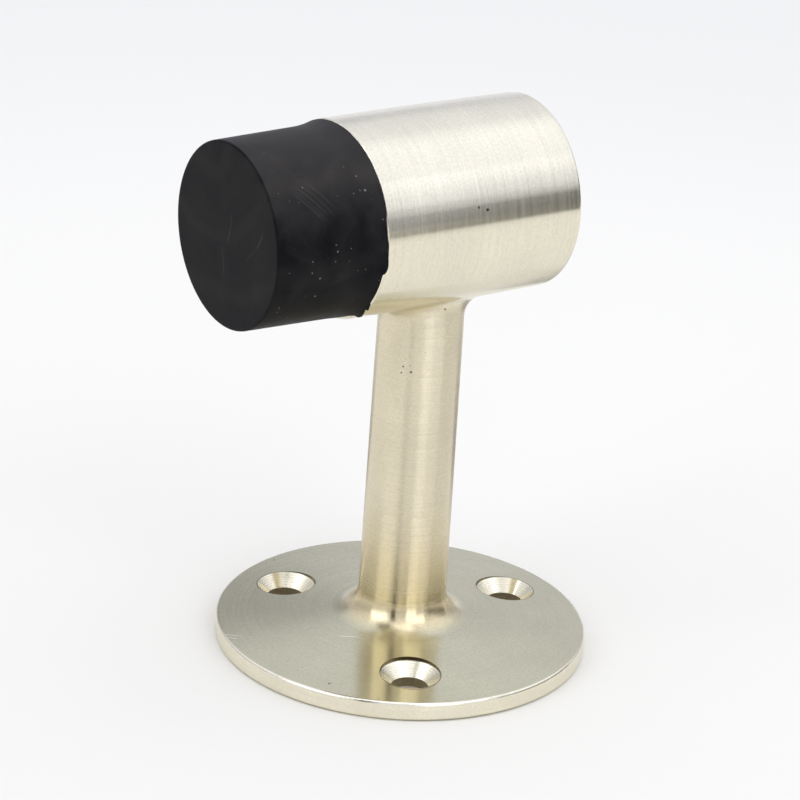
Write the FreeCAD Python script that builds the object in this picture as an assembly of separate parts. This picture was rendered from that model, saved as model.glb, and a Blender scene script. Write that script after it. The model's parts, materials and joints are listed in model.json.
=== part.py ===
import FreeCAD, Part
import math
import os

from FreeCAD import Vector

# Floor door holder: a cast pedestal with a round flange, a post and a cross head, and a
# rubber buffer that screws into the front of the head.
#
# Frame: millimetres, +Z up. The origin is the centre of the flange's underside, on the
# post's axis. The buffer faces -Y, towards the door.

# Pedestal casting
overall_height = 74.6
base_diameter = 50.0
base_edge_thickness = 2.6
base_top_slope = 4.5
base_top_edge_round = 0.4
base_bottom_edge_break = 0.35
post_foot_diameter = 11.9
post_top_diameter = 11.1
foot_fillet = 3.6
neck_fillet = 2.6
head_diameter = 25.7
head_length = 30.0
head_crown = 0.1
head_rear_round = 0.3
head_rim_break = 0.2

# Fixing holes for countersunk wood screws
fixing_count = 3
fixing_edge_distance = 7.5
fixing_hole_diameter = 4.9
fixing_head_diameter = 8.0
fixing_countersink_angle = 82.0
fixing_rim_depth = 0.15

# Socket in the front of the head
socket_wall = 2.75
socket_mouth_chamfer = 0.3

# Threaded stud and the tapped hole behind the socket
thread_diameter = 6.0
thread_engagement = 10.0
stud_end_chamfer = 0.6
hole_run_out = 2.5
drill_point_angle = 118.0
stud_head_across_flats = 10.0
stud_head_height = 2.5

# Plate in the buffer's end, and the lock washer between it and the socket's floor
plate_thickness = 1.5
washer_thickness = 1.6
washer_band_width = 2.85
washer_split_width = 0.9
washer_split_angle = 25.0

# Rubber buffer: how far its lip, its waist behind the lip and its front lie inside the
# head's rim
nose_length = 15.4
lip_inset = 0.05
waist_inset = 0.55
front_inset = 0.8
nose_edge_round = 0.3
lip_flare_length = 3.5
flare_sag = 0.3
shank_length = 5.8
plate_cover = 1.0

# Clearances, each on the radius
shank_clearance = 0.25
thread_clearance = 0.05
plate_clearance = 0.1
washer_clearance = 0.1

# Sizes that follow
base_radius = base_diameter / 2
post_foot_radius = post_foot_diameter / 2
post_top_radius = post_top_diameter / 2
head_radius = head_diameter / 2
rim_radius = head_radius - head_crown
head_axis_height = overall_height - head_radius
fixing_circle_radius = base_radius - fixing_edge_distance
socket_radius = rim_radius - socket_wall
socket_depth = shank_length + washer_thickness
lip_radius = rim_radius - lip_inset
waist_radius = rim_radius - waist_inset
front_radius = rim_radius - front_inset
shank_radius = socket_radius - shank_clearance
hole_radius = thread_diameter / 2
stud_radius = hole_radius - thread_clearance
stud_length = plate_thickness + washer_thickness + thread_engagement
plate_radius = shank_radius - plate_cover
past_surface = 1.0


def flange_top(radius):
    """Height of the flange's sloping top at a distance from the post's axis."""
    return base_edge_thickness + (base_radius - radius) * math.tan(math.radians(base_top_slope))


def post_radius(height):
    """Radius of the slightly tapered post, from the flange's top up to the head's axis."""
    foot = flange_top(post_foot_radius)
    share = (height - foot) / (head_axis_height - foot)
    return post_foot_radius + (post_top_radius - post_foot_radius) * share


def turned(outline):
    """Solid turned about Z. The outline lies in the XZ plane: (radius, height) corners, and
    a corner given as a pair of them is the middle and the end of an arc."""
    edges = []
    start = Vector(outline[0][0], 0, outline[0][1])
    previous = start
    for corner in outline[1:] + outline[:1]:
        if isinstance(corner[0], tuple):
            middle, end = (Vector(radius, 0, height) for radius, height in corner)
            edges.append(Part.Arc(previous, middle, end).toShape())
        else:
            end = Vector(corner[0], 0, corner[1])
            edges.append(Part.LineSegment(previous, end).toShape())
        previous = end
    return Part.Face(Part.Wire(edges)).revolve(Vector(0, 0, 0), Vector(0, 0, 1), 360)


def on_head_axis(shape):
    """The shape with its Z axis laid along the head's axis, Z = 0 at the head's front rim and
    +Z outward. Its X axis turns up, so that seams lie along the head's top."""
    turn = FreeCAD.Matrix(
        0, -1, 0, 0,
        0, 0, -1, -head_length / 2,
        1, 0, 0, head_axis_height,
        0, 0, 0, 1,
    )
    moved = shape.copy()
    moved.Placement = FreeCAD.Placement(turn).multiply(moved.Placement)
    return moved


def edges_where(shape, test):
    """Edges whose every vertex passes the test, without the seams."""
    return [
        edge for edge in shape.Edges
        if not isinstance(edge.Curve, Part.Line) and all(test(v.Point) for v in edge.Vertexes)
    ]


def near(value, target):
    return abs(value - target) < 0.01


# Pedestal


def flange_and_post():
    """Round flange, thickest at its middle, with the post standing on it."""
    foot = flange_top(post_foot_radius)
    outline = [
        (0, 0),
        (base_radius, 0),
        (base_radius, base_edge_thickness),
        (post_foot_radius, foot),
        (post_top_radius, head_axis_height),
        (0, head_axis_height),
    ]
    body = turned(outline)

    def edge_at(radius, height):
        return edges_where(
            body, lambda p: near(math.hypot(p.x, p.y), radius) and near(p.z, height)
        )

    body = body.makeFillet(foot_fillet, edge_at(post_foot_radius, foot))
    body = body.makeFillet(base_top_edge_round, edge_at(base_radius, base_edge_thickness))
    return body.makeChamfer(base_bottom_edge_break, edge_at(base_radius, 0))


def head():
    """Cross head with a slightly crowned side, its rear rim rounded."""
    outline = [
        (0, 0),
        (rim_radius, 0),
        ((head_radius, -head_length / 2), (rim_radius, -head_length)),
        (0, -head_length),
    ]
    barrel = turned(outline)
    rear_rim = edges_where(barrel, lambda p: near(p.z, -head_length) and p.x > past_surface)
    barrel = barrel.makeFillet(head_rear_round, rear_rim)
    front_rim = edges_where(barrel, lambda p: near(p.z, 0) and p.x > past_surface)
    return on_head_axis(barrel.makeChamfer(head_rim_break, front_rim))


def countersunk_hole():
    """Cutter for one fixing hole, on the flange's centre line under the buffer."""
    top = flange_top(fixing_circle_radius)
    head_r = fixing_head_diameter / 2
    hole_r = fixing_hole_diameter / 2
    cone_top = top - fixing_rim_depth
    cone_depth = (head_r - hole_r) / math.tan(math.radians(fixing_countersink_angle / 2))
    cutter = turned([
        (0, -past_surface),
        (hole_r, -past_surface),
        (hole_r, cone_top - cone_depth),
        (head_r, cone_top),
        (head_r, top + past_surface),
        (0, top + past_surface),
    ])
    cutter.translate(Vector(0, -fixing_circle_radius, 0))
    return cutter


def fixing_holes():
    """Cutters for the fixing holes: one points away from the buffer, the rest follow evenly."""
    cutters = []
    for index in range(fixing_count):
        cutter = countersunk_hole()
        cutter.rotate(Vector(0, 0, 0), Vector(0, 0, 1), 180 + index * 360 / fixing_count)
        cutters.append(cutter)
    return cutters


def socket():
    """Cutter for the socket in the head, its chamfered mouth and the drilled, tapped hole."""
    hole_end = socket_depth + thread_engagement + hole_run_out
    point_length = hole_radius / math.tan(math.radians(drill_point_angle / 2))
    return on_head_axis(turned([
        (0, past_surface),
        (socket_radius + socket_mouth_chamfer + past_surface, past_surface),
        (socket_radius, -socket_mouth_chamfer),
        (socket_radius, -socket_depth),
        (hole_radius, -socket_depth),
        (hole_radius, -hole_end),
        (0, -hole_end - point_length),
    ]))


def pedestal_casting():
    """The flange, post and head as one casting, with its holes."""
    casting = flange_and_post().fuse(head())

    def on_neck(point):
        between = flange_top(post_foot_radius) + foot_fillet < point.z < head_axis_height
        return between and near(math.hypot(point.x, point.y), post_radius(point.z))

    neck = edges_where(casting, on_neck)
    casting = casting.makeFillet(neck_fillet, neck)
    return casting.cut(fixing_holes() + [socket()])


# Buffer


def plate_disc(hole_r=0):
    """Round plate in the rear end of the rubber shank."""
    rear = -shank_length
    front = rear + plate_thickness
    if not hole_r:
        return turned([(0, rear), (plate_radius, rear), (plate_radius, front), (0, front)])
    return turned([(hole_r, rear), (plate_radius, rear), (plate_radius, front), (hole_r, front)])


def stud():
    """Hexagon head in front of the plate and a plain shank to the thread's major diameter."""
    seat = -shank_length + plate_thickness
    tip = seat - stud_length
    shaft = turned([
        (0, tip),
        (stud_radius - stud_end_chamfer, tip),
        (stud_radius, tip + stud_end_chamfer),
        (stud_radius, seat),
        (0, seat),
    ])
    corner_radius = stud_head_across_flats / 2 / math.cos(math.pi / 6)
    corners = [
        Vector(corner_radius * math.cos(angle), corner_radius * math.sin(angle), seat)
        for angle in (index * math.pi / 3 for index in range(7))
    ]
    hexagon = Part.Face(Part.makePolygon(corners)).extrude(Vector(0, 0, stud_head_height))
    return hexagon.fuse(shaft).removeSplitter()


def rubber():
    """Nose with a flared lip that closes on the head's rim, and a shank in the socket."""
    round_middle = nose_edge_round * (1 - math.sqrt(0.5))
    flare_middle = waist_radius + (lip_radius - waist_radius) * flare_sag
    nose = turned([
        (0, nose_length),
        (front_radius - nose_edge_round, nose_length),
        (
            (front_radius - round_middle, nose_length - round_middle),
            (front_radius, nose_length - nose_edge_round),
        ),
        (waist_radius, lip_flare_length),
        ((flare_middle, lip_flare_length / 2), (lip_radius, 0)),
        (shank_radius, 0),
        (shank_radius, -shank_length),
        (0, -shank_length),
    ])
    return nose.cut([plate_disc(), stud()])


def lock_washer():
    """Split ring around the stud, pressed flat between the plate and the socket's floor."""
    inner = stud_radius + washer_clearance
    outer = inner + washer_band_width
    rear = -socket_depth
    front = rear + washer_thickness
    ring = turned([(inner, rear), (outer, rear), (outer, front), (inner, front)])
    slit = Part.makeBox(
        outer + past_surface, washer_split_width, washer_thickness * 3,
        Vector(0, -washer_split_width / 2, -washer_thickness * 1.5),
    )
    slit.rotate(Vector(0, 0, 0), Vector(1, 0, 0), washer_split_angle)
    slit.translate(Vector(0, 0, rear + washer_thickness / 2))
    return ring.cut(slit)


def save(node, shape):
    if not shape.isValid():
        raise ValueError(node + " is not a valid solid")
    print(node, len(shape.Solids), "solid,", round(shape.Volume), "mm3")
    shape.exportStep("parts/" + node + ".step")


os.makedirs("parts", exist_ok=True)
save("pedestal_casting", pedestal_casting())
save("rubber_buffer", on_head_axis(rubber()))
save("anchor_plate", on_head_axis(plate_disc(stud_radius + plate_clearance)))
save("buffer_stud", on_head_axis(stud()))
save("lock_washer", on_head_axis(lock_washer()))
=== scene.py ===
import bpy
import bmesh
import json
import math
from mathutils import Matrix, Vector


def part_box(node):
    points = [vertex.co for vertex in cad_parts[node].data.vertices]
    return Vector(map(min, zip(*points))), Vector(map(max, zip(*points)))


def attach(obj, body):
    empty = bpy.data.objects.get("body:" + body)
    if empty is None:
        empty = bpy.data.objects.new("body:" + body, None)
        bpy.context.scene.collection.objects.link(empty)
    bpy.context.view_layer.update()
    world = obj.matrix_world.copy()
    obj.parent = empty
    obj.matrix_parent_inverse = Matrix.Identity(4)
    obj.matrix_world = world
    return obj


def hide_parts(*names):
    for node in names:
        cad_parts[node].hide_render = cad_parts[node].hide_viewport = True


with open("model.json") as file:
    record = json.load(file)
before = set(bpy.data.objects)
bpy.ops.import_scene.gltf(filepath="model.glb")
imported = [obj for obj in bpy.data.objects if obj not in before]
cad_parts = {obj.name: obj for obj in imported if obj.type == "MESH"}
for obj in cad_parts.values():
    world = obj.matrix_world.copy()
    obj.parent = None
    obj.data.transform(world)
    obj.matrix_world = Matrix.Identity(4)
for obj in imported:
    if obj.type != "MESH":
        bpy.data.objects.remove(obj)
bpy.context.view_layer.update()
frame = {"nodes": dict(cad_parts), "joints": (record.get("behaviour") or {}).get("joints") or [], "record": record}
nodes = frame["nodes"]
print("frame loaded:", ", ".join(sorted(nodes)))

mm = 0.001
# noise seldom leaves the middle of its range, so its effects are spread from there
noiseSpan = {"From Min": 0.3, "From Max": 0.7}


def srgb(code):
    # "#RRGGBB" as on a colour card, turned to the linear values that shaders take
    parts = [int(code[i:i + 2], 16) / 255 for i in (1, 3, 5)]
    return tuple(c / 12.92 if c <= 0.04045 else ((c + 0.055) / 1.055) ** 2.4 for c in parts) + (1.0,)


def addNode(tree, kind, inputs=None, **settings):
    # a node with its settings; an input takes a value, a socket, or a node's first output, and a
    # kind without its family's name is a shader node
    family = "" if kind.startswith(("Geometry", "NodeGroup")) else "ShaderNode"
    node = tree.nodes.new(family + kind)
    for name, value in settings.items():
        setattr(node, name, value)
    for key, value in (inputs or {}).items():
        if isinstance(value, bpy.types.Node):
            value = value.outputs[0]
        if isinstance(value, bpy.types.NodeSocket):
            tree.links.new(value, node.inputs[key])
        else:
            node.inputs[key].default_value = value
    return node


def onCircle(radius, turn):
    # across and along, at an angle in degrees from the second
    return radius * math.sin(math.radians(turn)), radius * math.cos(math.radians(turn))


def newMaterial(name):
    material = bpy.data.materials.new(name)
    material.use_nodes = True
    material.node_tree.nodes.clear()
    return material, material.node_tree


def coat(node, material):
    mesh = nodes[node].data
    mesh.materials.clear()
    mesh.materials.append(material)


# Measures, all from the frame: the head's axis runs along Y, the post's along Z
castLow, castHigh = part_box("pedestal_casting")
noseLow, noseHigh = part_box("rubber_buffer")
plateLow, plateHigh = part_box("anchor_plate")
studLow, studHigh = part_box("buffer_stud")
hinge = next(joint for joint in frame["joints"] if joint["name"] == "buffer_turn")
screws = next(mount for mount in frame["record"]["mounts"] if mount["name"] == "floor_screws")
rimY = hinge["pos_m"][1]
headAxis = hinge["pos_m"][2]
headRadius = castHigh.z - headAxis
baseRadius = castHigh.x
holeCircle = screws["dims"]["pcd_mm"] * mm / 2
holeRadius = screws["dims"]["hole_r_mm"] * mm


# Camera: a long lens looking a little down on the buffer's side
cameraView = {
    "azimuth": 54.314,
    "elevation": 22.123,
    "roll": 3.831,
    "distance": 0.41443,
    "aimHeight": 0.03433,
    "aimSide": -0.002,
    "lens": 141.53,
    "clipStart": 0.01,
}


def makeCamera(view):
    a, e, r = (math.radians(view[key]) for key in ("azimuth", "elevation", "roll"))
    back = Vector((math.sin(a) * math.cos(e), -math.cos(a) * math.cos(e), math.sin(e)))
    right = Vector((math.cos(a), math.sin(a), 0))
    up = back.cross(right)
    sideways = math.cos(r) * right + math.sin(r) * up
    upward = math.cos(r) * up - math.sin(r) * right
    data = bpy.data.cameras.new("camera")
    data.lens = view["lens"]
    data.clip_start = view["clipStart"]
    camera = bpy.data.objects.new("camera", data)
    bpy.context.scene.collection.objects.link(camera)
    place = Vector((0, 0, view["aimHeight"])) + right * view["aimSide"] + back * view["distance"]
    turn = Matrix((sideways, upward, back)).transposed().to_4x4()
    camera.matrix_world = Matrix.Translation(place) @ turn
    bpy.context.scene.camera = camera


makeCamera(cameraView)
print("camera placed")


# Studio: a long sheet of white paper under a soft sky. The cards shape the sky's reflections:
# a place is (azimuth, elevation) in degrees, half sizes and the soft edge are sines.
studio = {
    "paperHalf": 4.0,
    "paperDrop": 0.02 * mm,     # keeps the sheet just clear of the flange
    "paperColor": "#E7E4D9",
    "farColor": "#DDDBD2",      # painted shade: camera rays see the sheet a little darker towards the back of the studio
    "farFrom": 0.10,
    "farTo": 0.36,
    "paperGlow": 0.02,
    "shadeColor": "#A8A08E",    # painted shadow: the floor under the flange is darker, seen through the screw holes
    "shadeInset": 2 * mm,
    "skyStrength": 1.04,
    "skyTint": (1.0, 1.03, 1.16),
    "skySteps": [(0.0, 0.62), (0.29, 0.69), (0.41, 0.78), (0.50, 0.86), (0.69, 0.94), (0.80, 1.0)],
    "cards": [
        {"name": "keySoftbox", "place": (165, 48), "half": (0.42, 0.32), "edge": 0.10, "level": 1.13},
        {"name": "darkRoom", "place": (-52, 12), "half": (0.40, 0.24), "edge": 0.20, "level": 0.56},
        {"name": "leftSoftbox", "place": (0, 35), "half": (0.30, 0.26), "edge": 0.10, "level": 2.3},
        {"name": "rightSoftbox", "place": (93, 36), "half": (0.33, 0.25), "edge": 0.08, "level": 2.0},
        {"name": "overhead", "place": (54, 82), "half": (0.26, 0.30), "edge": 0.10, "level": 1.9},
        {"name": "sideWindow", "place": (80, 12), "half": (0.20, 0.28), "edge": 0.06, "level": 1.7},
        {"name": "cameraBody", "place": (36, 22), "half": (0.09, 0.44), "edge": 0.05, "level": 0.06},
        {"name": "leftCurtain", "place": (-104, 21), "half": (0.30, 0.16), "edge": 0.20, "level": 0.44},
        {"name": "rightCurtain", "place": (196, 6), "half": (0.28, 0.16), "edge": 0.16, "level": 0.50},
        {"name": "backPanel", "place": (-128, 5), "half": (0.30, 0.13), "edge": 0.10, "level": 0.95},
    ],
    # boards beside the object, out of the camera's sight: the grey flag draws the dark line along
    # the head, the strips on the floor darken the post's edges; a board's corners are
    # (azimuth, distance, height), in degrees and metres
    "boards": [
        {"name": "flag", "color": "#5A5A52", "corners": [
            (111, 0.24, 0), (120, 0.40, 0), (175, 0.50, 0), (175, 0.50, 0.16), (121, 0.40, 0.128),
        ]},
        {"name": "rightStrip", "color": "#98948B", "corners": [
            (183, 0.058, 0), (183, 0.13, 0), (212, 0.13, 0), (212, 0.058, 0),
        ]},
        {"name": "leftStrip", "color": "#A8A49A", "corners": [
            (-112, 0.058, 0), (-112, 0.13, 0), (-84, 0.13, 0), (-84, 0.058, 0),
        ]},
    ],
}


def addCard(tree, sky, direction, card):
    azimuth, elevation = (math.radians(angle) for angle in card["place"])
    right = Vector((math.cos(azimuth), math.sin(azimuth), 0))
    forward = Vector((
        math.sin(azimuth) * math.cos(elevation), -math.cos(azimuth) * math.cos(elevation),
        math.sin(elevation),
    ))
    axes = (right, forward.cross(right), forward)
    along = [addNode(tree, "VectorMath", {0: direction, 1: axis}, operation="DOT_PRODUCT")
             for axis in axes]
    mask = addNode(tree, "Math", {0: along[2].outputs["Value"], 1: 0.0}, operation="GREATER_THAN")
    for line, half in zip(along, card["half"]):
        offset = addNode(tree, "Math", {0: line.outputs["Value"]}, operation="ABSOLUTE")
        side = addNode(tree, "MapRange", {
            "Value": offset, "From Min": half + card["edge"] / 2, "From Max": half - card["edge"] / 2,
        }, interpolation_type="SMOOTHSTEP")
        mask = addNode(tree, "Math", {0: mask, 1: side}, operation="MULTIPLY")
    level = card["level"]
    return addNode(tree, "Mix", {
        "Factor": mask, "A": sky, "B": (level, level, level, 1),
    }, data_type="RGBA").outputs["Result"]


def makeSky(look):
    world = bpy.data.worlds.new("studioSky")
    bpy.context.scene.world = world
    world.use_nodes = True
    tree = world.node_tree
    tree.nodes.clear()
    direction = addNode(tree, "TexCoord").outputs["Generated"]
    axes = addNode(tree, "SeparateXYZ", {0: direction})
    ramp = addNode(tree, "ValToRGB", {0: axes.outputs["Z"]})
    stops = ramp.color_ramp.elements
    for index, (height, level) in enumerate(look["skySteps"]):
        stop = stops[index] if index < 2 else stops.new(height)
        stop.position = height
        stop.color = (level, level, level, 1)
    sky = ramp.outputs["Color"]
    for card in look["cards"]:
        sky = addCard(tree, sky, direction, card)
    sky = addNode(tree, "Mix", {"Factor": 1.0, "A": sky, "B": look["skyTint"] + (1,)},
                  data_type="RGBA", blend_type="MULTIPLY").outputs["Result"]
    light = addNode(tree, "Background", {"Color": sky, "Strength": look["skyStrength"]})
    addNode(tree, "OutputWorld", {"Surface": light})


def stagePiece(name, corners, material):
    mesh = bpy.data.meshes.new(name)
    mesh.from_pydata(corners, [], [tuple(range(len(corners)))])
    mesh.materials.append(material)
    piece = bpy.data.objects.new(name, mesh)
    bpy.context.scene.collection.objects.link(piece)
    return piece


def layPaper(look):
    # matt paper; a little glow for camera, mirror and glass rays brings its white up
    material, tree = newMaterial("mattPaper")
    rays = addNode(tree, "LightPath")
    seen = addNode(tree, "Math", {
        0: rays.outputs["Is Camera Ray"], 1: rays.outputs["Is Glossy Ray"],
    }, operation="MAXIMUM")
    seen = addNode(tree, "Math", {0: seen, 1: rays.outputs["Is Transmission Ray"]}, operation="MAXIMUM")
    glow = addNode(tree, "Math", {0: seen, 1: look["paperGlow"]}, operation="MULTIPLY")
    place = addNode(tree, "TexCoord").outputs["Object"]
    away = addNode(tree, "VectorMath", {0: place}, operation="LENGTH").outputs["Value"]
    under = addNode(tree, "Math", {0: away, 1: baseRadius - look["shadeInset"]}, operation="LESS_THAN")
    # painted shade: camera rays see the sheet darker towards the back
    farShade = addNode(tree, "MapRange", {
        "Value": away, "From Min": look["farFrom"], "From Max": look["farTo"],
    }, interpolation_type="SMOOTHSTEP")
    farShade = addNode(tree, "Math", {0: farShade, 1: rays.outputs["Is Camera Ray"]}, operation="MULTIPLY")
    color = addNode(tree, "Mix", {
        "Factor": farShade, "A": srgb(look["paperColor"]), "B": srgb(look["farColor"]),
    }, data_type="RGBA").outputs["Result"]
    # painted shadow on the floor under the flange
    color = addNode(tree, "Mix", {
        "Factor": under, "A": color, "B": srgb(look["shadeColor"]),
    }, data_type="RGBA").outputs["Result"]
    matt = addNode(tree, "BsdfDiffuse", {"Color": color})
    lift = addNode(tree, "Emission", {"Strength": glow})
    both = addNode(tree, "AddShader", {0: matt, 1: lift})
    addNode(tree, "OutputMaterial", {"Surface": both})
    half = look["paperHalf"]
    height = castLow.z - look["paperDrop"]
    stagePiece("paper", [
        (-half, -half, height), (half, -half, height), (half, half, height), (-half, half, height),
    ], material)


def placeBoards(look):
    for board in look["boards"]:
        material, tree = newMaterial(board["name"] + "Card")
        matt = addNode(tree, "BsdfDiffuse", {"Color": srgb(board["color"])})
        addNode(tree, "OutputMaterial", {"Surface": matt})
        corners = []
        for azimuth, distance, height in board["corners"]:
            aside, back = onCircle(distance, azimuth)
            corners.append((aside, -back, height))
        piece = stagePiece(board["name"], corners, material)
        piece.visible_camera = False
        piece.visible_diffuse = False
        piece.visible_shadow = False


bpy.context.scene.view_settings.view_transform = "Standard"
makeSky(studio)
layPaper(studio)
placeBoards(studio)
print("studio lit")


def speckMask(tree, place, speck):
    # 1 on small scattered spots: one spot at most in each cell, and only in a share of the cells;
    # stretch above 1 shortens a spot that way, and sizes are in metres
    cell, seed = speck["cell"], speck["seed"]
    moved = addNode(tree, "Mapping", {
        "Vector": place, "Rotation": speck.get("turn", (0, 0, 0)),
        "Location": (seed, 0.7 * seed, 0.3 * seed),     # away from the other specks' pattern
        "Scale": tuple(s / cell for s in speck.get("stretch", (1, 1, 1))),
    })
    cells = addNode(tree, "TexVoronoi", {
        "Vector": moved, "Scale": 1.0, "Randomness": 0.8,
    }, voronoi_dimensions="3D")
    chance = addNode(tree, "SeparateColor", {0: cells.outputs["Color"]})
    size = addNode(tree, "Math", {0: chance.outputs["Green"], 1: speck["radius"] / cell},
                   operation="MULTIPLY")
    inside = addNode(tree, "Math", {0: cells.outputs["Distance"], 1: size}, operation="LESS_THAN")
    kept = addNode(tree, "Math", {0: chance.outputs["Red"], 1: speck["share"]}, operation="LESS_THAN")
    return addNode(tree, "Math", {0: inside, 1: kept}, operation="MULTIPLY")


def arcMask(tree, place, arc):
    # 1 along a thin arc on a surface, fading at both ends: all in metres
    centre, radius, middle, reach, width = arc
    gap = addNode(tree, "VectorMath", {0: place, 1: centre}, operation="DISTANCE")
    line = addNode(tree, "Math", {0: gap.outputs["Value"], 1: radius, 2: width / 2},
                   operation="COMPARE")
    gap = addNode(tree, "VectorMath", {0: place, 1: middle}, operation="DISTANCE")
    part = addNode(tree, "MapRange", {
        "Value": gap.outputs["Value"], "From Min": reach, "From Max": reach / 2,
    })
    return addNode(tree, "Math", {0: line, 1: part}, operation="MULTIPLY")


# Cast brass, ground, brushed and plated in satin nickel: to the eye a warm pale metal whose
# reflections smear across the brushing, with hairlines, a few pits and lighter edges, partly worn
# and partly painted highlight; its colour also carries painted shade on the flange and in the
# bores, a painted highlight on the rim and a painted reflection at the foot.
nickel = {
    "headColor": "#EAE4CF",
    "postColor": "#E5DBC0",
    # painted shade: the flange's top takes a darker copy of the plating's colour
    "flangeColor": "#C9C4A9",
    # painted highlight: the flange's rim takes a lighter copy of the plating's colour
    "rimColor": "#EEE8D3",
    "footColor": "#DCCB9E",     # painted reflection: the post is warmer towards the foot, where it mirrors the flange
    "cutColor": "#EFE7CC",
    # painted shade: the bores of the screw holes take a darker copy of the plating's colour
    "boreColor": "#C4BCA2",
    "pitColor": "#6A5A42",
    "grimeColor": "#4E4029",
    "wearColor": "#F3EEDC",
    "roughness": 0.21,
    "postRoughness": 0.30,
    "flangeRoughness": 0.18,
    "flangeNearRoughness": 0.25,
    "cutRoughness": 0.22,
    "boreRoughness": 0.6,
    "unevenness": (0.88, 1.12),
    "anisotropic": 0.95,
    # where one part's finish passes into the next
    "headBlend": 2 * mm,        # up from the head's underside
    "postEdge": (6.5 * mm, 9 * mm),     # from the post's axis
    "rimBreak": 0.25 * mm,      # in from the flange's rim
    "endBreak": 0.15 * mm,      # in from the head's ends
    "footTint": (22 * mm, 7 * mm),      # heights on the post
    "footTintShare": 0.8,
    "footPolish": (10 * mm, 7 * mm),
    "footSurround": (9 * mm, 16 * mm),  # from the post's axis
    "hairline": 0.32 * mm,      # real hairlines are about 0.05 mm apart: drawn coarser to show
    "hairlineLength": 18 * mm,
    "grain": 0.30 * mm,
    "cloud": 7 * mm,
    # how far each pattern darkens or lightens the metal
    "hairlineSpread": (-0.6, 0.4),
    "hairlineShade": 0.09,
    "flangeHairlineShade": 0.05,
    "grainShade": (0.94, 1.05),
    "cloudShade": (0.96, 1.03),
    "turningShade": (0.95, 1.05),
    "turningPitch": 0.22 * mm,  # marks that the cutter left, drawn a little coarser
    "turningRelief": 0.2,
    "bump": {"Strength": 0.12, "Distance": 0.02 * mm},
    # the countersinks: the radius of the rim that the casting has, and a darker line drawn along the step at it
    "seatRadius": 4 * mm,
    "seatBreak": 0.06 * mm,
    "stepWidth": 0.07 * mm,
    "stepGrime": 0.7,
    "boreBreak": 0.03 * mm,
    # small pits that the casting kept: on the head by degrees from its top and mm along it,
    # on the post by degrees round it and mm up it; the last value is the pit's radius in mm
    "headPits": [(74, -1.2, 0.16), (76, 0.1, 0.20), (139, -3.5, 0.12)],
    "postPits": [(35, 41.2, 0.14), (37, 42.3, 0.10), (33, 40.3, 0.12), (46, 40.6, 0.16),
                 (44, 41.5, 0.09), (63, 43.4, 0.10), (86, 49.3, 0.14), (83, 50.2, 0.08)],
    "postRadius": 5.75 * mm,    # half way up the post
    # on the flange by degrees from the buffer's side and mm from the post's axis
    "flangePits": [(32, 22.84, 0.16), (100, 14.3, 0.10), (-76, 23.7, 0.15), (49, 24.2, 0.12)],
    "flangeHeight": 2.75 * mm,  # near its edge
    "pits": {"cell": 5 * mm, "radius": 0.16 * mm, "share": 0.40, "seed": 5.3},
    "scratches": {"cell": 6 * mm, "radius": 0.07 * mm, "share": 0.30, "seed": 8.4,
                  "stretch": (0.05, 1, 1), "turn": (0.3, 0.2, 0.5)},
    # nicks in the plating: an arc's centre and radius, then the middle and reach of the stretch
    # that shows, in mm
    "nicks": [
        ((-46.4, 20.8, 2.7), 60.0, (-5.7, -23.3, 2.7), 1.5),
        ((-46.4, 20.2, 2.7), 60.3, (-5.0, -23.6, 2.7), 0.9),
        ((-43.1, 27.2, 3.7), 60.0, (3.4, -10.8, 3.7), 1.6),
        ((-30.0, 20.0, 2.7), 51.6, (-10.5, -21.9, 2.7), 0.7),
    ],
    "nickWidth": 0.13 * mm,
    # a lighter band along the flange's rounded top edge, broken into patches: partly wear, partly painted
    # highlight
    "wearBand": (0.38 * mm, 0.2 * mm),
    "wearAbove": 2.2 * mm,
    "wearPatch": 1.3 * mm,
    "wearLimit": 0.585,
}


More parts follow.
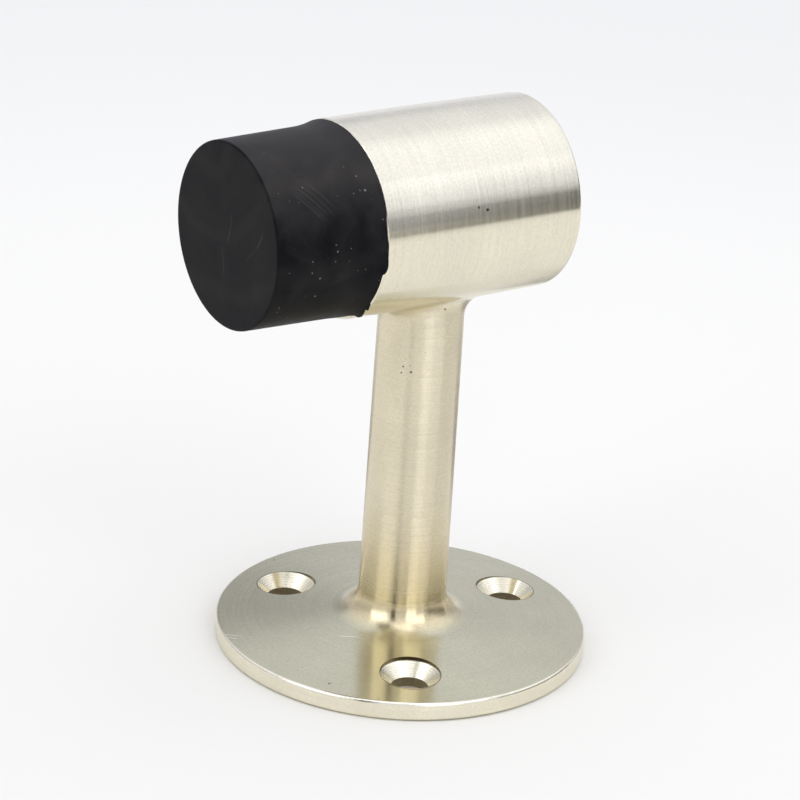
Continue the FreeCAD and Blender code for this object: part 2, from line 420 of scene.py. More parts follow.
def satinNickel(look):
    material, tree = newMaterial("brushedSatinNickel")
    place = addNode(tree, "TexCoord").outputs["Object"]
    axes = addNode(tree, "SeparateXYZ", {0: place})
    x, y, z = (axes.outputs[name] for name in "XYZ")
    flat = addNode(tree, "CombineXYZ", {"X": x, "Y": y})
    fromPost = addNode(tree, "VectorMath", {0: flat}, operation="LENGTH").outputs["Value"]

    # masks, each 1 on its part: the head, the flange's top and the two end faces of the head
    headLow = headAxis - headRadius
    high = addNode(tree, "MapRange", {
        "Value": z, "From Min": headLow, "From Max": headLow + look["headBlend"],
    }, interpolation_type="SMOOTHSTEP")
    beyondPost = addNode(tree, "MapRange", {
        "Value": fromPost, "From Min": look["postEdge"][0], "From Max": look["postEdge"][1],
    }, interpolation_type="SMOOTHSTEP")
    upper = addNode(tree, "Math", {0: z, 1: headAxis / 2}, operation="GREATER_THAN")
    outward = addNode(tree, "Math", {0: beyondPost, 1: upper}, operation="MULTIPLY")
    onHead = addNode(tree, "Math", {0: high, 1: outward}, operation="MAXIMUM")
    lower = addNode(tree, "Math", {0: 1.0, 1: upper}, operation="SUBTRACT")
    inRim = addNode(tree, "Math", {0: fromPost, 1: baseRadius - look["rimBreak"]},
                    operation="LESS_THAN")
    spread = addNode(tree, "Math", {0: beyondPost, 1: lower}, operation="MULTIPLY")
    onFlange = addNode(tree, "Math", {0: spread, 1: inRim}, operation="MULTIPLY")
    farAlong = addNode(tree, "Math", {0: y}, operation="ABSOLUTE")
    onEnd = addNode(tree, "Math", {0: farAlong, 1: abs(rimY) - look["endBreak"]},
                    operation="GREATER_THAN")
    onEnd = addNode(tree, "Math", {0: onEnd, 1: upper}, operation="MULTIPLY")

    # the three countersinks: distance to the nearest one, folded over the X = 0 plane
    mirrored = addNode(tree, "Math", {0: x}, operation="ABSOLUTE")
    folded = addNode(tree, "CombineXYZ", {"X": mirrored, "Y": y})
    gaps = [
        addNode(tree, "VectorMath", {0: folded, 1: (*onCircle(holeCircle, turn), 0)},
                operation="DISTANCE").outputs["Value"]
        for turn in (0, 120)
    ]
    fromHole = addNode(tree, "Math", {0: gaps[0], 1: gaps[1]}, operation="MINIMUM")
    inSeat = addNode(tree, "Math", {0: fromHole, 1: look["seatRadius"] - look["seatBreak"]},
                     operation="LESS_THAN")
    atStep = addNode(tree, "Math", {0: fromHole, 1: look["seatRadius"], 2: look["stepWidth"]},
                     operation="COMPARE")
    inBore = addNode(tree, "Math", {0: fromHole, 1: holeRadius + look["boreBreak"]},
                     operation="LESS_THAN")
    atRim = addNode(tree, "Math", {0: 1.0, 1: inRim}, operation="SUBTRACT")
    inSeat, atStep, inBore, atRim = (
        addNode(tree, "Math", {0: mask, 1: lower}, operation="MULTIPLY")
        for mask in (inSeat, atStep, inBore, atRim)
    )
    # a darker line drawn along the countersinks' step
    atStep = addNode(tree, "Math", {0: atStep, 1: look["stepGrime"]}, operation="MULTIPLY")
    turning = addNode(tree, "Math", {0: fromHole, 1: 2 * math.pi / look["turningPitch"]},
                      operation="MULTIPLY")
    turning = addNode(tree, "Math", {0: turning}, operation="SINE")
    turning = addNode(tree, "Math", {0: turning, 1: inSeat}, operation="MULTIPLY")

    # reflections smear across the brushing: along the head, up the post, outward on the flange
    meridian = addNode(tree, "Mix", {"Factor": onFlange, "A": (0, 0, 1), "B": flat},
                       data_type="VECTOR").outputs["Result"]
    smear = addNode(tree, "VectorMath", {0: meridian}, operation="NORMALIZE")
    for mask, line in ((onHead, (0, 1, 0)), (onEnd, (0, 0, 1))):
        smear = addNode(tree, "Mix", {"Factor": mask, "A": smear, "B": line},
                        data_type="VECTOR").outputs["Result"]

    # hairlines: fine across the brushing, long along it
    across = addNode(tree, "Mix", {"Factor": onFlange, "A": z, "B": fromPost},
                     data_type="FLOAT").outputs["Result"]
    across = addNode(tree, "Mix", {"Factor": onHead, "A": across, "B": y},
                     data_type="FLOAT").outputs["Result"]
    around = addNode(tree, "Mix", {"Factor": onHead, "A": y, "B": z},
                     data_type="FLOAT").outputs["Result"]
    streak = addNode(tree, "CombineXYZ", {
        axis: addNode(tree, "Math", {0: line, 1: 1 / size}, operation="MULTIPLY")
        for axis, line, size in (("X", across, look["hairline"]), ("Y", x, look["hairlineLength"]),
                                 ("Z", around, look["hairlineLength"]))
    })
    hair = addNode(tree, "TexNoise", {
        "Vector": streak, "Scale": 1.0, "Detail": 3.0, "Roughness": 0.6,
    }).outputs["Fac"]
    grain = addNode(tree, "TexNoise", {
        "Vector": place, "Scale": 1 / look["grain"], "Detail": 2.0,
    }).outputs["Fac"]
    cloud = addNode(tree, "TexNoise", {
        "Vector": place, "Scale": 1 / look["cloud"], "Detail": 3.0,
    }).outputs["Fac"]

    # colour by part, in lighter and darker copies of one plating: painted shade on the flange's top and in the
    # bores, a painted highlight on the rim, a painted reflection at the foot
    color = srgb(look["postColor"])
    # painted reflection: the post warms towards the foot
    footReflection = addNode(tree, "MapRange", {
        "Value": z, "From Min": look["footTint"][0], "From Max": look["footTint"][1],
        "To Max": look["footTintShare"],
    }, interpolation_type="SMOOTHSTEP")
    for mask, name in ((onHead, "headColor"), (footReflection, "footColor"), (atRim, "rimColor"),
                       (onFlange, "flangeColor"), (inSeat, "cutColor"), (inBore, "boreColor")):
        color = addNode(tree, "Mix", {"Factor": mask, "A": color, "B": srgb(look[name])},
                        data_type="RGBA").outputs["Result"]

    # shaded by hairlines, grain, clouds and turning marks
    strength = addNode(tree, "MapRange", {
        "Value": onFlange, "To Min": look["hairlineShade"], "To Max": look["flangeHairlineShade"],
    })
    low, top = look["hairlineSpread"]
    centred = addNode(tree, "MapRange", {"Value": hair, **noiseSpan, "To Min": low, "To Max": top})
    shade = addNode(tree, "Math", {0: centred, 1: strength, 2: 1.0}, operation="MULTIPLY_ADD")
    turningSpan = {"From Min": -1, "From Max": 1}
    for pattern, span, name in ((grain, noiseSpan, "grainShade"), (cloud, noiseSpan, "cloudShade"),
                                (turning, turningSpan, "turningShade")):
        level = addNode(tree, "MapRange", {
            "Value": pattern, **span, "To Min": look[name][0], "To Max": look[name][1],
        })
        shade = addNode(tree, "Math", {0: shade, 1: level}, operation="MULTIPLY")
    shade = addNode(tree, "CombineColor", {0: shade, 1: shade, 2: shade})
    color = addNode(tree, "Mix", {"Factor": 1.0, "A": color, "B": shade},
                    data_type="RGBA", blend_type="MULTIPLY").outputs["Result"]

    # pits, and what is lighter: scratches, nicks and the flange's top edge, partly wear and partly painted
    # highlight
    pits = speckMask(tree, place, look["pits"])
    spots = []
    for turn, along, size in look["headPits"]:
        aside, up = onCircle(headRadius, turn)
        spots.append((aside, along * mm, headAxis + up, size))
    for turn, height, size in look["postPits"]:
        aside, back = onCircle(look["postRadius"], turn)
        spots.append((aside, -back, height * mm, size))
    for turn, away, size in look["flangePits"]:
        aside, back = onCircle(away * mm, turn)
        spots.append((aside, -back, castLow.z + look["flangeHeight"], size))
    for *spot, size in spots:
        away = addNode(tree, "VectorMath", {0: place, 1: spot}, operation="DISTANCE")
        spot = addNode(tree, "Math", {0: away.outputs["Value"], 1: size * mm}, operation="LESS_THAN")
        pits = addNode(tree, "Math", {0: pits, 1: spot}, operation="MAXIMUM")
    scratches = speckMask(tree, place, look["scratches"])
    for centre, radius, middle, reach in look["nicks"]:
        nick = arcMask(tree, place, (
            [c * mm for c in centre], radius * mm, [c * mm for c in middle], reach * mm,
            look["nickWidth"],
        ))
        scratches = addNode(tree, "Math", {0: scratches, 1: nick}, operation="MAXIMUM")
    # painted highlight, with wear, along the flange's rounded top edge
    wide, narrow = look["wearBand"]
    edgeWearAndHighlight = addNode(tree, "MapRange", {
        "Value": fromPost, "From Min": baseRadius - wide, "From Max": baseRadius - narrow,
    }, interpolation_type="SMOOTHSTEP")
    onTop = addNode(tree, "Math", {0: z, 1: look["wearAbove"]}, operation="GREATER_THAN")
    patchy = addNode(tree, "TexNoise", {
        "Vector": place, "Scale": 1 / look["wearPatch"], "Detail": 5.0, "Roughness": 0.8,
    }).outputs["Fac"]
    patchy = addNode(tree, "Math", {0: patchy, 1: look["wearLimit"]}, operation="GREATER_THAN")
    for mask in (onTop, patchy):
        edgeWearAndHighlight = addNode(tree, "Math", {0: edgeWearAndHighlight, 1: mask}, operation="MULTIPLY")
    marksAndHighlight = addNode(tree, "Math", {0: edgeWearAndHighlight, 1: scratches}, operation="MAXIMUM")
    for mask, name in ((atStep, "grimeColor"), (pits, "pitColor"), (marksAndHighlight, "wearColor")):
        color = addNode(tree, "Mix", {"Factor": mask, "A": color, "B": srgb(look[name])},
                        data_type="RGBA").outputs["Result"]

    # roughness follows the same parts and hairlines
    polished = addNode(tree, "MapRange", {
        "Value": z, "From Min": look["footPolish"][0], "From Max": look["footPolish"][1],
    }, interpolation_type="SMOOTHSTEP")
    nearFoot = addNode(tree, "MapRange", {
        "Value": fromPost, "From Min": look["footSurround"][0], "From Max": look["footSurround"][1],
        "To Min": look["flangeNearRoughness"], "To Max": look["flangeRoughness"],
    })
    rough = look["postRoughness"]
    for mask, value in ((onHead, look["roughness"]), (polished, look["roughness"]),
                        (onFlange, nearFoot), (inSeat, look["cutRoughness"]),
                        (inBore, look["boreRoughness"])):
        rough = addNode(tree, "Mix", {"Factor": mask, "A": rough, "B": value},
                        data_type="FLOAT").outputs["Result"]
    low, top = look["unevenness"]
    uneven = addNode(tree, "MapRange", {"Value": hair, **noiseSpan, "To Min": low, "To Max": top})
    rough = addNode(tree, "Math", {0: rough, 1: uneven}, operation="MULTIPLY")

    relief = addNode(tree, "Math", {0: hair, 1: pits}, operation="SUBTRACT")
    relief = addNode(tree, "Math", {0: turning, 1: look["turningRelief"], 2: relief},
                     operation="MULTIPLY_ADD")
    bump = addNode(tree, "Bump", {"Height": relief, **look["bump"]})
    shader = addNode(tree, "BsdfPrincipled", {
        "Base Color": color, "Metallic": 1.0, "Roughness": rough,
        "Anisotropic": look["anisotropic"], "Tangent": smear, "Normal": bump,
    })
    addNode(tree, "OutputMaterial", {"Surface": shader})
    return material


# Compression-moulded natural rubber, filled with carbon black: to the eye a soft near-black with
# a faint grey bloom, fine dust and rubbed arcs on the face; its upper side is painted lighter,
# partly settled dust and partly painted sheen.
rubberLook = {
    "color": "#08080C",
    "bloomColor": "#383532",
    "dustColor": "#A19E96",
    "roughness": (0.45, 0.59),
    "specular": 0.09,
    "cloud": 5 * mm,
    # the bloom lies in clouds and in wide arcs about a point, given right of the axis and above
    # it; between two heights above the axis the side is painted lighter, partly settled dust and
    # partly painted sheen
    "cloudSpan": (0.38, 0.75),
    "cloudBloom": 0.34,
    "arcCentre": (-4 * mm, 12 * mm),
    "arcPitch": 26 * mm,
    "arcBloom": 0.10,
    "settledSpan": (2 * mm, 11 * mm),
    "settledBloom": 0.6,
    "faceDepth": 0.2 * mm,
    # specks of dust are uneven: their places are shaken a little before they are drawn; light is
    # how much of the dust's colour they take
    "shakeSize": 0.16 * mm,
    "shakeReach": 0.14 * mm,
    "specks": [
        {"cell": 1.1 * mm, "radius": 0.15 * mm, "share": 0.55, "seed": 5.2, "light": 0.28},
        {"cell": 5 * mm, "radius": 0.10 * mm, "share": 0.18, "seed": 1.7, "light": 0.6,
         "stretch": (1, 0.12, 1), "turn": (0.4, 0.9, 0.2)},
        {"cell": 2.9 * mm, "radius": 0.24 * mm, "share": 0.35, "seed": 7.7, "light": 0.38},
    ],
    # rubbed arcs on the face and scuffs on the side: the arc's centre and radius, then the middle
    # and the reach of the stretch that shows, all in mm from the face's centre, right, back along
    # the axis and up; the last value is how light the mark is. On the face the dark arc is a rubbed
    # mark and the light arcs are painted highlights along the rubbed marks.
    "marks": [
        ((-1.5, 0, 6.6), 10.4, (7.2, 0, 0.2), 3.6, 0.05),
        ((-1.8, 0, 6.6), 10.7, (6.4, 0, -0.8), 2.6, -0.7),
        ((-9.0, 0, 3.0), 10.0, (0.8, 0, 1.2), 2.6, 0.035),
        ((-20, 0, -8), 20.0, (-0.6, 0, -3.5), 2.2, 0.03),
        ((10, -9.4, -8.8), 21.0, (10.2, 5.0, 6.1), 3.2, 0.03),
        ((10, -9.4, -8.8), 21.4, (10.2, 5.8, 6.4), 3.4, 0.02),
        ((10, -9.4, -8.8), 21.9, (10.1, 5.6, 7.0), 3.0, 0.03),
        ((10, -9.4, -8.8), 22.5, (9.9, 6.6, 7.2), 3.4, 0.02),
        ((10, -9.4, -8.8), 23.2, (9.7, 7.2, 7.6), 2.6, 0.025),
    ],
    "markWidth": 0.26 * mm,
    "skin": 0.25 * mm,          # the mould's fine sand texture, drawn as coarse as it shows
    "bump": {"Strength": 0.3, "Distance": 0.02 * mm},
}


def mouldedRubber(look):
    material, tree = newMaterial("mouldedBlackRubber")
    place = addNode(tree, "TexCoord").outputs["Object"]
    cloud = addNode(tree, "TexNoise", {
        "Vector": place, "Scale": 1 / look["cloud"], "Detail": 5.0, "Roughness": 0.6,
        "Distortion": 0.6,
    }).outputs["Fac"]
    skin = addNode(tree, "TexNoise", {
        "Vector": place, "Scale": 1 / look["skin"], "Detail": 2.0,
    }).outputs["Fac"]

    # bloom: clouds, wide arcs, and the upper side painted lighter, partly settled dust and partly painted sheen
    right, up = look["arcCentre"]
    rubbed = addNode(tree, "Mapping", {"Vector": place, "Location": (-right, 0, -headAxis - up)})
    arcs = addNode(tree, "TexWave", {
        "Vector": rubbed, "Scale": 1 / look["arcPitch"], "Distortion": 2.5, "Detail": 3.0,
        "Detail Scale": 1.6,
    }, wave_type="RINGS", rings_direction="Y").outputs["Fac"]
    arcs = addNode(tree, "MapRange", {
        "Value": arcs, "From Min": 0.75, "From Max": 1.0, "To Max": look["arcBloom"],
    })
    film = addNode(tree, "MapRange", {
        "Value": cloud, "From Min": look["cloudSpan"][0], "From Max": look["cloudSpan"][1],
        "To Max": look["cloudBloom"],
    })
    axes = addNode(tree, "SeparateXYZ", {0: place})
    low, top = look["settledSpan"]
    dustAndSheen = addNode(tree, "MapRange", {
        "Value": axes.outputs["Z"], "From Min": headAxis + low, "From Max": headAxis + top,
        "To Max": look["settledBloom"],
    }, interpolation_type="SMOOTHSTEP")
    side = addNode(tree, "Math", {0: axes.outputs["Y"], 1: noseLow.y + look["faceDepth"]},
                   operation="GREATER_THAN")
    dustAndSheen = addNode(tree, "Math", {0: dustAndSheen, 1: side}, operation="MULTIPLY")
    film = addNode(tree, "Math", {0: film, 1: arcs}, operation="ADD")
    film = addNode(tree, "Math", {0: film, 1: dustAndSheen}, operation="ADD", use_clamp=True)
    color = addNode(tree, "Mix", {
        "Factor": film, "A": srgb(look["color"]), "B": srgb(look["bloomColor"]),
    }, data_type="RGBA").outputs["Result"]

    # the face's light arcs are painted highlights
    for centre, radius, middle, reach, light in look["marks"]:
        centre, middle = (
            (right * mm, noseLow.y + back * mm, headAxis + up * mm)
            for right, back, up in (centre, middle)
        )
        mark = arcMask(tree, place, (centre, radius * mm, middle, reach * mm, look["markWidth"]))
        mark = addNode(tree, "Math", {0: mark, 1: abs(light)}, operation="MULTIPLY")
        color = addNode(tree, "Mix", {
            "Factor": mark, "A": color, "B": srgb(look["dustColor"] if light > 0 else look["color"]),
        }, data_type="RGBA").outputs["Result"]

    shaken = addNode(tree, "TexNoise", {"Vector": place, "Scale": 1 / look["shakeSize"]})
    shaken = addNode(tree, "VectorMath", {
        0: shaken.outputs["Color"], 1: (look["shakeReach"],) * 3, 2: place,
    }, operation="MULTIPLY_ADD")
    specks = 0.0
    for speck in look["specks"]:
        faint = addNode(tree, "Math", {0: speckMask(tree, shaken, speck), 1: speck["light"]},
                        operation="MULTIPLY")
        specks = addNode(tree, "Math", {0: specks, 1: faint}, operation="MAXIMUM")
    color = addNode(tree, "Mix", {
        "Factor": specks, "A": color, "B": srgb(look["dustColor"]),
    }, data_type="RGBA").outputs["Result"]

    smooth, coarse = look["roughness"]
    rough = addNode(tree, "MapRange", {"Value": cloud, **noiseSpan, "To Min": smooth, "To Max": coarse})
    bump = addNode(tree, "Bump", {"Height": skin, **look["bump"]})
    shader = addNode(tree, "BsdfPrincipled", {
        "Base Color": color, "Roughness": rough, "Specular IOR Level": look["specular"],
        "Normal": bump,
    })
    addNode(tree, "OutputMaterial", {"Surface": shader})
    return material


# Mild steel, zinc plated and clear passivated: a cool grey with a spangled, slightly blue sheen.
zincLook = {
    "color": "#C3C8CC",
    "otherColor": "#AEBBC8",
    "roughness": (0.28, 0.42),
    "patch": 0.9 * mm,
}
# Spring steel, hardened and oiled: dark grey, cloudy where the oil dried.
springLook = {
    "color": "#77787A",
    "otherColor": "#55534F",
    "roughness": (0.32, 0.46),
    "patch": 0.25 * mm,
}
steelBump = {"Strength": 0.2, "Distance": 0.02 * mm}


def patchySteel(name, look):
    material, tree = newMaterial(name)
    place = addNode(tree, "TexCoord").outputs["Object"]
    patch = addNode(tree, "TexNoise", {
        "Vector": place, "Scale": 1 / look["patch"], "Detail": 4.0,
    }).outputs["Fac"]
    share = addNode(tree, "MapRange", {"Value": patch, "From Min": 0.35, "From Max": 0.65})
    color = addNode(tree, "Mix", {
        "Factor": share, "A": srgb(look["color"]), "B": srgb(look["otherColor"]),
    }, data_type="RGBA").outputs["Result"]
    smooth, coarse = look["roughness"]
    rough = addNode(tree, "MapRange", {"Value": patch, **noiseSpan, "To Min": smooth, "To Max": coarse})
    bump = addNode(tree, "Bump", {"Height": patch, **steelBump})
    shader = addNode(tree, "BsdfPrincipled", {
        "Base Color": color, "Metallic": 1.0, "Roughness": rough, "Normal": bump,
    })
    addNode(tree, "OutputMaterial", {"Surface": shader})
    return material


# Turned pieces. Each starts as its outline: a row of points from the front of the axis round
# the outside to its rear, at (radius, place along the head's axis). Geometry Nodes wrap a grid
# round the axis and let a rule change the radius and the place at each angle from the top.
mergeReach = 0.002 * mm     # closes the seam at the top and the ends on the axis
sharpAngle = 38             # degrees, above which an edge is drawn sharp


def startTurning(name, sizes):
    tree = bpy.data.node_groups.new(name, "GeometryNodeTree")
    tree.interface.new_socket("Outline", in_out="INPUT", socket_type="NodeSocketGeometry")
    tree.interface.new_socket("Around", in_out="INPUT", socket_type="NodeSocketInt")
    for size in sizes:
        tree.interface.new_socket(size, in_out="INPUT", socket_type="NodeSocketFloat")
    tree.interface.new_socket("Finish", in_out="INPUT", socket_type="NodeSocketMaterial")
    tree.interface.new_socket("Piece", in_out="OUTPUT", socket_type="NodeSocketGeometry")
    given = addNode(tree, "NodeGroupInput").outputs
    rows = addNode(tree, "GeometryNodeAttributeDomainSize", {0: given["Outline"]},
                   component="MESH").outputs["Point Count"]
    columns = addNode(tree, "Math", {0: given["Around"], 1: 1.0}, operation="ADD")
    grid = addNode(tree, "GeometryNodeMeshGrid", {
        "Size X": 1.0, "Size Y": 1.0, "Vertices X": columns, "Vertices Y": rows,
    }).outputs["Mesh"]
    place = addNode(tree, "SeparateXYZ", {0: addNode(tree, "GeometryNodeInputPosition")})
    turn = addNode(tree, "Math", {0: place.outputs["X"], 1: 0.5}, operation="ADD")
    last = addNode(tree, "Math", {0: rows, 1: 1.0}, operation="SUBTRACT")
    down = addNode(tree, "Math", {0: place.outputs["Y"], 1: 0.5}, operation="ADD")
    row = addNode(tree, "Math", {0: down, 1: last}, operation="MULTIPLY")
    row = addNode(tree, "Math", {0: row}, operation="ROUND").outputs[0]

    def read(label):
        value = addNode(tree, "GeometryNodeInputNamedAttribute", {"Name": label},
                        data_type="FLOAT").outputs["Attribute"]
        return addNode(tree, "GeometryNodeSampleIndex", {
            "Geometry": given["Outline"], "Value": value, "Index": row,
        }, data_type="FLOAT", domain="POINT").outputs["Value"]

    return tree, given, grid, turn.outputs[0], read


def hexagonStretch(tree, turn, share):
    # 1 on a circle; on a hexagon with a corner at the top, corner over flat at that angle
    sixth = addNode(tree, "Math", {0: turn, 1: 6.0}, operation="MULTIPLY")
    sixth = addNode(tree, "Math", {0: sixth}, operation="FRACT")
    sixth = addNode(tree, "Math", {0: sixth, 1: 0.5}, operation="SUBTRACT")
    angle = addNode(tree, "Math", {0: sixth, 1: math.pi / 3}, operation="MULTIPLY")
    cosine = addNode(tree, "Math", {0: angle}, operation="COSINE")
    stretch = addNode(tree, "Math", {0: 1.0, 1: cosine}, operation="DIVIDE")
    return addNode(tree, "Mix", {"Factor": share, "A": 1.0, "B": stretch},
                   data_type="FLOAT").outputs["Result"]


def endTurning(tree, given, grid, turn, radius, along):
    angle = addNode(tree, "Math", {0: turn, 1: 2 * math.pi}, operation="MULTIPLY")
    sine = addNode(tree, "Math", {0: angle}, operation="SINE")
    cosine = addNode(tree, "Math", {0: angle}, operation="COSINE")
    x = addNode(tree, "Math", {0: radius, 1: sine}, operation="MULTIPLY")
    z = addNode(tree, "Math", {0: radius, 1: cosine, 2: headAxis}, operation="MULTIPLY_ADD")
    point = addNode(tree, "CombineXYZ", {"X": x, "Y": along, "Z": z})
    skin = addNode(tree, "GeometryNodeSetPosition", {"Geometry": grid, "Position": point})
    closed = addNode(tree, "GeometryNodeMergeByDistance", {"Geometry": skin, "Distance": mergeReach})
    real = addNode(tree, "GeometryNodeRealizeInstances", {"Geometry": closed})
    coated = addNode(tree, "GeometryNodeSetMaterial", {"Geometry": real, "Material": given["Finish"]})
    addNode(tree, "NodeGroupOutput", {"Piece": coated})


def turnPiece(name, tree, outline, sizes, body, node):
    # the outline's points carry the shares that the rule reads; the result is one plain mesh
    mesh = bpy.data.meshes.new(name + "Outline")
    mesh.from_pydata([(row["radius"], row["along"], 0) for row in outline], [], [])
    for label in outline[0]:
        values = mesh.attributes.new(label, "FLOAT", "POINT").data
        values.foreach_set("value", [row[label] for row in outline])
    source = bpy.data.objects.new(name + "Outline", mesh)
    bpy.context.scene.collection.objects.link(source)
    modifier = source.modifiers.new("turning", "NODES")
    modifier.node_group = tree
    for socket in tree.interface.items_tree:
        if socket.in_out == "INPUT" and socket.name in sizes:
            modifier[socket.identifier] = sizes[socket.name]
    graph = bpy.context.evaluated_depsgraph_get()
    made = bpy.data.meshes.new_from_object(source.evaluated_get(graph), depsgraph=graph)
    source.modifiers.remove(modifier)
    bpy.data.objects.remove(source)
    shape = bmesh.new()
    shape.from_mesh(made)
    bmesh.ops.recalc_face_normals(shape, faces=shape.faces)
    openEdges = sum(1 for edge in shape.edges if len(edge.link_faces) != 2)
    shape.to_mesh(made)
    shape.free()
    made.shade_smooth()
    made.set_sharp_from_angle(angle=math.radians(sharpAngle))
    made.name = name
    piece = bpy.data.objects.new(name, made)
    bpy.context.scene.collection.objects.link(piece)
    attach(piece, body)
    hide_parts(node)
    print(name, len(made.polygons), "faces,", openEdges, "open edges")
    return piece


# Rubber nose: a straight taper from the face to a waist, then a lip that flares to the rim. The
# mould's flash was trimmed by hand: edgeShift is how far the lip's edge then runs back over the
# metal (above 0) or stops short of it, and rimInset how far it lies inside the rim, in mm at
# degrees from the top.
nose = {
    "around": 360,              # steps round the axis
    "frontRadius": 11.95 * mm,
    "waistRadius": 12.2 * mm,
    "edgeRound": 0.3 * mm,
    "flareLength": 3.5 * mm,
    "flareSag": 0.3,
    "shankRadius": 9.75 * mm,
    "shankRound": 0.4 * mm,
    "flashOut": 0.24 * mm,      # how far the flash stands out over the metal
    "flashRise": 0.08 * mm,     # the shift at which the flash stands out in full
    "unevenness": 0.07 * mm,
    "unevenScale": 9.0,
    "unevenAbove": 0.62,        # noise below this pulls the edge back
    "unevenShift": 4.0,
    # the lip's edge, from outside in: mm inside the lip and in front of the rim, then the shares
    # of the lip's shape, of edgeShift and of the flash that each row takes
    "lipEdge": [(0, 0.05, 1, 1, 1), (0.02, 0.01, 1, 1, 0.62), (0.06, 0, 0.95, 0.5, 0.60),
                (0.16, 0, 0.9), (0.6, 0, 0.5), (1.1, 0)],
    "edgeShift": [(0, 0), (50, 0.06), (62, 0.10), (76, -0.03), (84, 0.02), (100, 0.34), (103, 0.30),
                  (105, -0.02), (113, -0.30), (124, -0.20), (135, 0.18), (136, -0.12), (146, 0.65),
                  (147, 0.0), (360, 0)],
    "rimInset": [(0, 0), (147, 0), (150, 0.36), (222, 0.36), (238, 0), (360, 0)],
}


def noseOutline(look):
    front, rear, lip = noseLow.y, noseHigh.y, noseHigh.x
    rows = []

    def add(radius, along, lipShare=0.0, overBack=0.0, overOut=0.0, hexShare=0.0):
        rows.append({"radius": radius, "along": along, "lipShare": lipShare, "overBack": overBack,
                     "overOut": overOut, "hexShare": hexShare})

    edge = look["edgeRound"]
    for share in (0, 0.3, 0.6, 0.85, 0.97):
        add((look["frontRadius"] - edge) * share, front)
    for step in range(7):
        angle = math.pi / 2 * step / 6
        add(look["frontRadius"] - edge + edge * math.sin(angle), front + edge * (1 - math.cos(angle)))
    sideEnd = rimY - look["flareLength"]
    for step in range(1, 9):
        share = step / 8
        add(look["frontRadius"] + (look["waistRadius"] - look["frontRadius"]) * share,
            front + edge + (sideEnd - front - edge) * share)
    bend = 2 - 4 * look["flareSag"]     # makes the flare pass its sag half way
    for step in range(1, 15):
        share = step / 15
        rise = (1 - bend) * share + bend * share * share
        add(look["waistRadius"] + (lip - look["waistRadius"]) * rise,
            sideEnd + look["flareLength"] * share, lipShare=share ** 3)
    for inset, short, *shares in look["lipEdge"]:
        add(lip - inset * mm, rimY - short * mm, *shares)
    shank, soft = look["shankRadius"], look["shankRound"]
    add(shank, rimY)
    add(shank, rear - soft)
    for step in range(1, 5):
        angle = math.pi / 2 * step / 4
        add(shank - soft + soft * math.cos(angle), rear - soft + soft * math.sin(angle))
    add(plateHigh.x, rear)
    add(plateHigh.x, plateLow.y)
    pocket = stud["hexApothem"]         # the rubber is moulded round the stud's head
    add(pocket, plateLow.y, hexShare=1)
    add(pocket, studLow.y, hexShare=1)
    add(0, studLow.y)
    return rows


def curveOver(tree, turn, points, reach):
    # a line through given points over one turn; its values lie within reach of nought
    node = addNode(tree, "FloatCurve", {"Value": turn})
    line = node.mapping.curves[0]
    line.points[1].location = (1, 0.5 + points[-1][1] / (2 * reach))
    line.points[0].location = (0, 0.5 + points[0][1] / (2 * reach))
    for angle, value in points[1:-1]:
        line.points.new(angle / 360, 0.5 + value / (2 * reach))
    for point in line.points:
        point.handle_type = "VECTOR"
    node.mapping.update()
    centred = addNode(tree, "Math", {0: node, 1: 0.5}, operation="SUBTRACT")
    return addNode(tree, "Math", {0: centred, 1: 2 * reach * mm}, operation="MULTIPLY")


def noseTree(look):
    tree, given, grid, turn, read = startTurning("rubberNoseTurning", ["Flash Out", "Unevenness"])
    shift = curveOver(tree, turn, look["edgeShift"], 1)
    inset = curveOver(tree, turn, look["rimInset"], 1)
    angle = addNode(tree, "Math", {0: turn, 1: 2 * math.pi}, operation="MULTIPLY")
    circle = addNode(tree, "CombineXYZ", {
        "X": addNode(tree, "Math", {0: angle}, operation="SINE"),
        "Y": addNode(tree, "Math", {0: angle}, operation="COSINE"),
    })
    rough = addNode(tree, "TexNoise", {
        "Vector": circle, "Scale": look["unevenScale"], "Detail": 3.0,
    }).outputs["Fac"]
    rough = addNode(tree, "Math", {0: rough, 1: look["unevenAbove"]}, operation="SUBTRACT")
    rough = addNode(tree, "Math", {0: rough, 1: 0.0}, operation="MINIMUM")
    rough = addNode(tree, "Math", {0: rough, 1: given["Unevenness"]}, operation="MULTIPLY")
    over = addNode(tree, "Math", {0: shift, 1: 0.0}, operation="MAXIMUM")
    short = addNode(tree, "Math", {0: shift, 1: 0.0}, operation="MINIMUM")
    short = addNode(tree, "Math", {0: rough, 1: look["unevenShift"], 2: short},
                    operation="MULTIPLY_ADD")
    lipShare = read("lipShare")
    along = addNode(tree, "Math", {0: over, 1: read("overBack"), 2: read("along")},
                    operation="MULTIPLY_ADD")
    along = addNode(tree, "Math", {0: short, 1: lipShare, 2: along}, operation="MULTIPLY_ADD")
    risen = addNode(tree, "MapRange", {"Value": over, "From Max": look["flashRise"]})
    lift = addNode(tree, "Math", {0: risen, 1: given["Flash Out"]}, operation="MULTIPLY")
    pull = addNode(tree, "Math", {0: inset, 1: lipShare}, operation="MULTIPLY")
    radius = addNode(tree, "Math", {
        0: read("radius"), 1: hexagonStretch(tree, turn, read("hexShare")),
    }, operation="MULTIPLY")
    radius = addNode(tree, "Math", {0: lift, 1: read("overOut"), 2: radius}, operation="MULTIPLY_ADD")
    radius = addNode(tree, "Math", {0: radius, 1: pull}, operation="SUBTRACT")
    endTurning(tree, given, grid, turn, radius, along)
    return tree


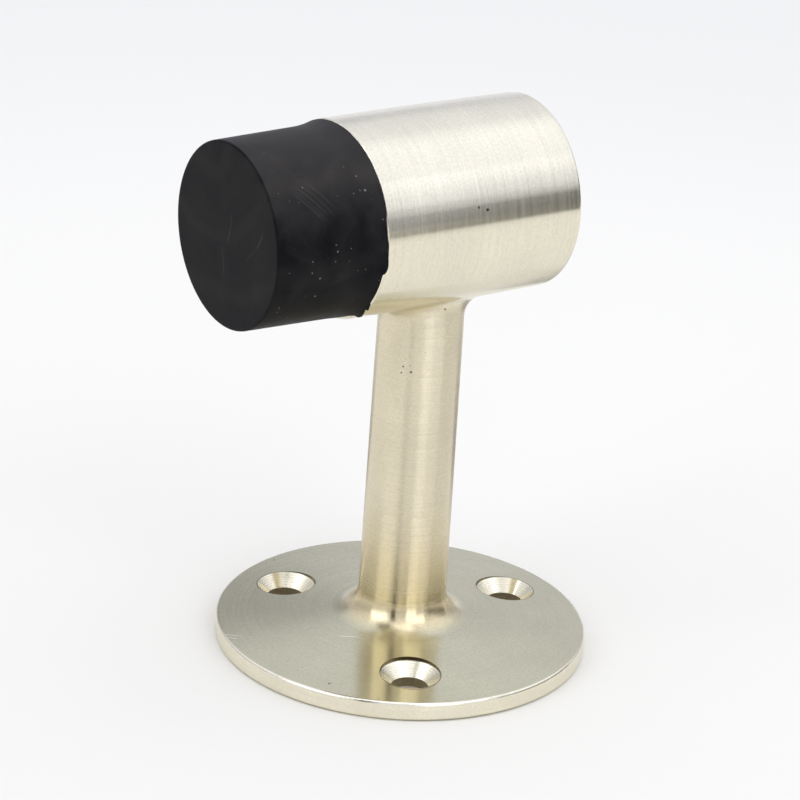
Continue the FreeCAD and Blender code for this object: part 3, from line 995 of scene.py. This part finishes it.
# Stud: a chamfered hexagon head and an M6 thread, right-handed, which fades out at both ends
stud = {
    "around": 72,
    "majorRadius": 2.95 * mm,   # M6, less its clearance
    "pitch": 1.0 * mm,
    "threadDepth": 0.55 * mm,
    "rowsPerTurn": 10,
    "hexApothem": 5.0 * mm,
    "headChamfer": 0.45 * mm,
    "tipChamfer": 0.6 * mm,
    "fade": 0.8 * mm,
    "endShare": 0.3,            # of the thread's depth that is left at the tip
    # in shares of the pitch, from the crest's middle: where the crest ends, where the root starts
    "crest": 0.08,
    "root": 0.42,
    # rings on the head's face: a share of its flat's radius, and of the chamfer in from the side
    "faceRing": 0.9,
    "chamferRing": 0.4,
}


def studOutline(look):
    majorRadius = look["majorRadius"]
    rows = []

    def add(radius, along, hexShare=0.0, threadShare=0.0):
        rows.append({"radius": radius, "along": along, "hexShare": hexShare,
                     "threadShare": threadShare})

    front, rear, seat = studLow.y, studHigh.y, plateLow.y
    add(0, front)
    add((look["hexApothem"] - look["headChamfer"]) * look["faceRing"], front)
    add(look["hexApothem"] - look["headChamfer"] * look["chamferRing"], front)
    add(look["hexApothem"], front + look["headChamfer"], hexShare=1)
    add(look["hexApothem"], seat, hexShare=1)
    add(majorRadius, seat)
    start, end = plateHigh.y, rear - look["tipChamfer"]
    count = round((end - start) / look["pitch"] * look["rowsPerTurn"])
    for step in range(count + 1):
        along = start + (end - start) * step / count
        share = min(1, (along - start) / look["fade"], (end - along) / look["fade"] + look["endShare"])
        add(majorRadius, along, threadShare=share)
    add(majorRadius - look["tipChamfer"], rear)
    add(0, rear)
    return rows


def studTree(look):
    tree, given, grid, turn, read = startTurning("threadedStudTurning", ["Pitch", "Thread Depth"])
    along = read("along")
    phase = addNode(tree, "Math", {0: along, 1: given["Pitch"]}, operation="DIVIDE")
    phase = addNode(tree, "Math", {0: phase, 1: turn}, operation="SUBTRACT")
    phase = addNode(tree, "Math", {0: phase}, operation="FRACT")
    height = addNode(tree, "Math", {0: phase, 1: 0.5}, operation="SUBTRACT")
    height = addNode(tree, "Math", {0: height}, operation="ABSOLUTE")
    groove = addNode(tree, "MapRange", {
        "Value": height, "From Min": look["crest"], "From Max": look["root"],
    })
    cut = addNode(tree, "Math", {0: groove, 1: given["Thread Depth"]}, operation="MULTIPLY")
    cut = addNode(tree, "Math", {0: cut, 1: read("threadShare")}, operation="MULTIPLY")
    radius = addNode(tree, "Math", {
        0: read("radius"), 1: hexagonStretch(tree, turn, read("hexShare")),
    }, operation="MULTIPLY")
    radius = addNode(tree, "Math", {0: radius, 1: cut}, operation="SUBTRACT")
    endTurning(tree, given, grid, turn, radius, along)
    return tree


nickelFinish = satinNickel(nickel)
rubberFinish = mouldedRubber(rubberLook)
zincFinish = patchySteel("zincPlatedSteel", zincLook)
springFinish = patchySteel("oiledSpringSteel", springLook)
coat("pedestal_casting", nickelFinish)
coat("anchor_plate", zincFinish)
coat("lock_washer", springFinish)
print("finishes ready")

turnPiece("rubberNose", noseTree(nose), noseOutline(nose), {
    "Around": nose["around"], "Flash Out": nose["flashOut"], "Unevenness": nose["unevenness"],
    "Finish": rubberFinish,
}, "buffer", "rubber_buffer")
turnPiece("threadedStud", studTree(stud), studOutline(stud), {
    "Around": stud["around"], "Pitch": stud["pitch"], "Thread Depth": stud["threadDepth"],
    "Finish": zincFinish,
}, "buffer", "buffer_stud")
